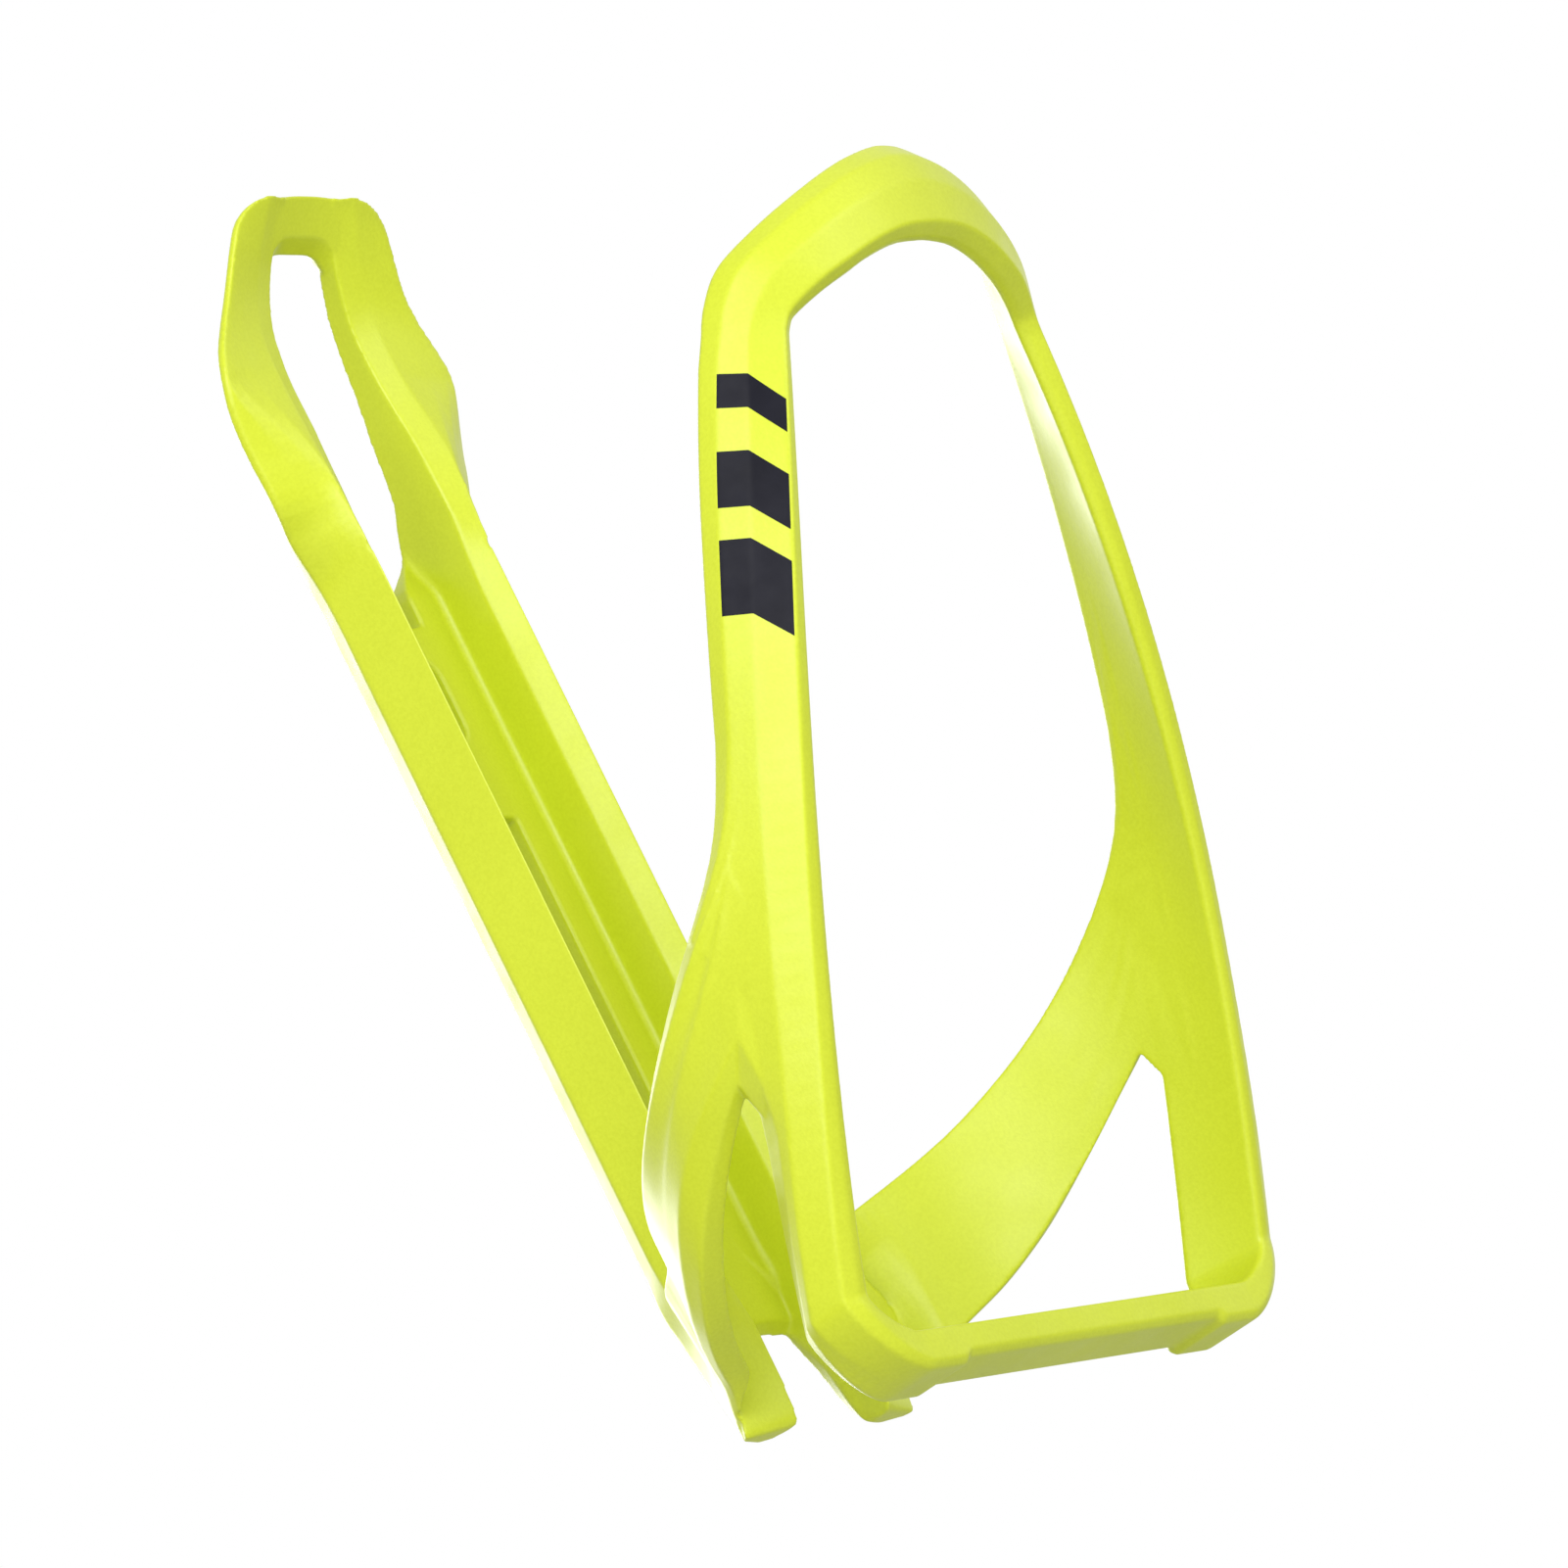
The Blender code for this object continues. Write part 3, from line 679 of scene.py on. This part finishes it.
def moulding():
    """All members fused into one continuous skin."""
    build = bmesh.new()
    add_sweep(build, loop_rings(), closed=True)
    for rings in (band_rings(), rail_rings()):
        add_sweep(build, rings)
        add_sweep(build, [mirrored(ring) for ring in rings])
    add_sweep(build, head_rings())
    add_bridges(build)
    mesh = bpy.data.meshes.new("moulding")
    build.to_mesh(mesh)
    build.free()
    obj = bpy.data.objects.new("moulding", mesh)
    bpy.context.scene.collection.objects.link(obj)
    fuse = obj.modifiers.new("fuse", "REMESH")
    fuse.mode = "VOXEL"
    fuse.voxel_size = VOXEL * MM
    soften = obj.modifiers.new("soften", "SMOOTH")
    soften.factor = 0.5
    soften.iterations = SMOOTH_ROUNDS
    graph = bpy.context.evaluated_depsgraph_get()
    fused = bpy.data.meshes.new_from_object(obj.evaluated_get(graph))
    obj.modifiers.clear()
    obj.data = fused
    bpy.data.meshes.remove(mesh)
    fused.name = "moulding"
    fused.shade_smooth()
    return obj


def noise(tree, place, scale, detail):
    """A noise in the object's own space."""
    node = tree.nodes.new("ShaderNodeTexNoise")
    node.inputs["Scale"].default_value = scale
    node.inputs["Detail"].default_value = detail
    tree.links.new(place.outputs["Object"], node.inputs["Vector"])
    return node


def spread(tree, source, low, high):
    """Maps the middle of a noise onto a range of values."""
    node = tree.nodes.new("ShaderNodeMapRange")
    node.inputs["From Min"].default_value = 0.3
    node.inputs["From Max"].default_value = 0.7
    node.inputs["To Min"].default_value = low
    node.inputs["To Max"].default_value = high
    tree.links.new(source.outputs["Fac"], node.inputs["Value"])
    return node


def grain_bump(tree, shader, height, strength, distance):
    node = tree.nodes.new("ShaderNodeBump")
    node.inputs["Strength"].default_value = strength
    node.inputs["Distance"].default_value = distance
    tree.links.new(height.outputs["Fac"], node.inputs["Height"])
    tree.links.new(node.outputs["Normal"], shader.inputs["Normal"])


def yellow_plastic():
    """Semi-matte bright yellow-green plastic: faint flow clouds, handling sheen and a fine moulded grain."""
    material = bpy.data.materials.new("yellow_plastic")
    material.use_nodes = True
    tree = material.node_tree
    shader = tree.nodes["Principled BSDF"]
    shader.inputs["Specular IOR Level"].default_value = 0.5
    shader.inputs["IOR"].default_value = 1.5
    place = tree.nodes.new("ShaderNodeTexCoord")
    cloud = spread(tree, noise(tree, place, 45.0, 3.0), 0.0, 1.0)
    speck = spread(tree, noise(tree, place, 2600.0, 1.0), 0.0, 1.0)
    blend = tree.nodes.new("ShaderNodeMath")
    blend.operation = "MULTIPLY_ADD"
    blend.inputs[1].default_value = 0.45
    tree.links.new(speck.outputs["Result"], blend.inputs[0])
    half = tree.nodes.new("ShaderNodeMath")
    half.operation = "MULTIPLY"
    half.inputs[1].default_value = 0.55
    tree.links.new(cloud.outputs["Result"], half.inputs[0])
    tree.links.new(half.outputs[0], blend.inputs[2])
    tint = tree.nodes.new("ShaderNodeMix")
    tint.data_type = "RGBA"
    tint.inputs["A"].default_value = (0.575, 0.66, 0.016, 1.0)
    tint.inputs["B"].default_value = (0.655, 0.745, 0.03, 1.0)
    tree.links.new(blend.outputs[0], tint.inputs["Factor"])
    tree.links.new(tint.outputs["Result"], shader.inputs["Base Color"])
    sheen = spread(tree, noise(tree, place, 160.0, 4.0), 0.34, 0.44)
    tree.links.new(sheen.outputs["Result"], shader.inputs["Roughness"])
    grain_bump(tree, shader, noise(tree, place, 3400.0, 2.0), 0.3, 0.00005)
    return material


def black_ink():
    """Printed satin black with a faint blue cast and the grain of the plastic below."""
    material = bpy.data.materials.new("black_ink")
    material.use_nodes = True
    tree = material.node_tree
    shader = tree.nodes["Principled BSDF"]
    shader.inputs["Specular IOR Level"].default_value = 0.1
    place = tree.nodes.new("ShaderNodeTexCoord")
    cloud = spread(tree, noise(tree, place, 220.0, 3.0), 0.0, 1.0)
    tint = tree.nodes.new("ShaderNodeMix")
    tint.data_type = "RGBA"
    tint.inputs["A"].default_value = (0.006, 0.006, 0.011, 1.0)
    tint.inputs["B"].default_value = (0.011, 0.011, 0.018, 1.0)
    tree.links.new(cloud.outputs["Result"], tint.inputs["Factor"])
    tree.links.new(tint.outputs["Result"], shader.inputs["Base Color"])
    sheen = spread(tree, noise(tree, place, 400.0, 3.0), 0.36, 0.46)
    tree.links.new(sheen.outputs["Result"], shader.inputs["Roughness"])
    grain_bump(tree, shader, noise(tree, place, 3400.0, 2.0), 0.18, 0.00004)
    return material


def stripe_spot(across, level, skin, offset):
    """A point of a stripe laid on the left upright; level is its height at the back bevel."""
    fall = STRIPE_FALL[0] * min(1.0, (across - BEVEL_SHARE) / (RIDGE_SHARE - BEVEL_SHARE))
    fall += STRIPE_FALL[1] * max(0.0, (across - RIDGE_SHARE) / (STRIPE_END - RIDGE_SHARE))
    height = level - fall
    angle = mix(upright_back(height), upright_front(height), across)[0]
    far = Vector(on_bottle(-angle, BOTTLE_RADIUS + STRIPE_CLEARANCE, height)) * MM
    near = Vector((0.0, AXIS_Y, height)) * MM
    way = (near - far).normalized()
    return skin.ray_cast(far, way)[0] - way * offset * MM


def stripe(name, top, bottom, skin, material):
    """A printed bar across the left upright's facets, laid on the skin."""
    columns = 40
    rows = 30
    build = bmesh.new()
    layers = []
    for offset in (STRIPE_LIFT, STRIPE_LIFT - STRIPE_DEPTH):
        grid = []
        for row in range(rows + 1):
            level = lerp(top, bottom, row / rows)
            line = []
            for column in range(columns + 1):
                across = lerp(BEVEL_SHARE, STRIPE_END, column / columns)
                line.append(build.verts.new(stripe_spot(across, level, skin, offset)))
            grid.append(line)
        layers.append(grid)
    top_layer, low_layer = layers
    for row in range(rows):
        for column in range(columns):
            for grid in layers:
                near, far = grid[row], grid[row + 1]
                build.faces.new((near[column], near[column + 1], far[column + 1], far[column]))
    rim = [(0, c) for c in range(columns)] + [(r, columns) for r in range(rows)]
    rim += [(rows, c) for c in range(columns, 0, -1)] + [(r, 0) for r in range(rows, 0, -1)]
    for (r, c), (s, d) in zip(rim, rim[1:] + rim[:1]):
        build.faces.new((top_layer[r][c], top_layer[s][d], low_layer[s][d], low_layer[r][c]))
    bmesh.ops.recalc_face_normals(build, faces=build.faces[:])
    mesh = bpy.data.meshes.new(name)
    build.to_mesh(mesh)
    build.free()
    mesh.shade_smooth()
    mesh.set_sharp_from_angle(angle=math.radians(50))
    mesh.materials.append(material)
    obj = bpy.data.objects.new(name, mesh)
    bpy.context.scene.collection.objects.link(obj)
    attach(obj, "loop")
    return obj


def build_object():
    """The skin over all members and its stripes."""
    skin = moulding()
    skin.data.materials.append(yellow_plastic())
    graph = bpy.context.evaluated_depsgraph_get()
    tree = BVHTree.FromObject(skin, graph)
    ink = black_ink()
    for index, (top, bottom) in enumerate(STRIPES):
        stripe(f"stripe_{index + 1}", top, bottom, tree, ink)
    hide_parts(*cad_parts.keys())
    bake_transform(skin)


def camera():
    """The photograph's viewpoint: low on the front left, looking up, rolled in the picture."""
    turn = math.radians(57.9148)
    rise = math.radians(-15.3259)
    roll = math.radians(26.5289)
    picture_width = 1601.0
    focal = 9472.53 / picture_width
    distance = 951.65
    slide = 6.6099
    lift = -66.9916
    pivot_height = -27.7
    back = Vector((-math.sin(turn) * math.cos(rise), -math.cos(turn) * math.cos(rise), math.sin(rise)))
    right = Vector((math.cos(turn), -math.sin(turn), 0.0))
    up = back.cross(right)
    place = back * distance - right * slide - up * lift
    place += Vector((0.0, AXIS_Y, pivot_height))
    image_right = right * math.cos(roll) - up * math.sin(roll)
    image_up = right * math.sin(roll) + up * math.cos(roll)
    data = bpy.data.cameras.new("camera")
    data.sensor_width = 36.0
    data.lens = focal * data.sensor_width
    data.clip_start = 0.01
    obj = bpy.data.objects.new("camera", data)
    bpy.context.scene.collection.objects.link(obj)
    pose = Matrix((image_right, image_up, back)).transposed().to_4x4()
    pose.translation = place * MM
    obj.matrix_world = pose
    bpy.context.scene.camera = obj


def floor():
    """A plain pale floor below the held-up part."""
    build = bmesh.new()
    bmesh.ops.create_grid(build, x_segments=1, y_segments=1, size=4.0)
    mesh = bpy.data.meshes.new("floor")
    build.to_mesh(mesh)
    build.free()
    material = bpy.data.materials.new("floor_paint")
    material.use_nodes = True
    shader = material.node_tree.nodes["Principled BSDF"]
    shader.inputs["Base Color"].default_value = (0.72, 0.72, 0.72, 1.0)
    shader.inputs["Roughness"].default_value = 0.9
    mesh.materials.append(material)
    obj = bpy.data.objects.new("floor", mesh)
    obj.location = (0.0, 0.0, -0.3)
    bpy.context.scene.collection.objects.link(obj)


def area_lamp(name, place, aim, size, power):
    data = bpy.data.lights.new(name, "AREA")
    data.size = size
    data.energy = power
    obj = bpy.data.objects.new(name, data)
    obj.location = place
    obj.rotation_euler = (Vector(aim) - Vector(place)).to_track_quat("-Z", "Y").to_euler()
    obj.visible_camera = False
    bpy.context.scene.collection.objects.link(obj)


def lighting():
    """A white studio that lights the object softly, with area lamps."""
    world = bpy.data.worlds.new("studio")
    bpy.context.scene.world = world
    world.use_nodes = True
    tree = world.node_tree
    dim = tree.nodes["Background"]
    dim.inputs["Color"].default_value = (1.0, 1.0, 1.0, 1.0)
    dim.inputs["Strength"].default_value = 0.32
    white = tree.nodes.new("ShaderNodeBackground")
    white.inputs["Color"].default_value = (1.0, 1.0, 1.0, 1.0)
    white.inputs["Strength"].default_value = 1.0
    path = tree.nodes.new("ShaderNodeLightPath")
    seen = path.outputs["Is Camera Ray"]
    for kind in ("Is Glossy Ray", "Is Transmission Ray"):
        either = tree.nodes.new("ShaderNodeMath")
        either.operation = "MAXIMUM"
        tree.links.new(seen, either.inputs[0])
        tree.links.new(path.outputs[kind], either.inputs[1])
        seen = either.outputs[0]
    pick = tree.nodes.new("ShaderNodeMixShader")
    tree.links.new(seen, pick.inputs["Fac"])
    tree.links.new(dim.outputs[0], pick.inputs[1])
    tree.links.new(white.outputs[0], pick.inputs[2])
    tree.links.new(pick.outputs[0], tree.nodes["World Output"].inputs["Surface"])
    aim = (0.0, -0.04, 0.04)
    area_lamp("side", (-1.05, -0.15, 0.33), aim, 0.5, 3.6)
    area_lamp("key", (-0.8, -0.72, 0.32), aim, 0.75, 7.8)
    area_lamp("rim", (0.57, 0.89, 0.31), aim, 0.55, 4.6)
    area_lamp("fill", (0.27, -1.05, 0.31), aim, 0.65, 2.9)


def main():
    build_object()
    floor()
    lighting()
    camera()
    bpy.context.scene.view_settings.view_transform = "Standard"


main()
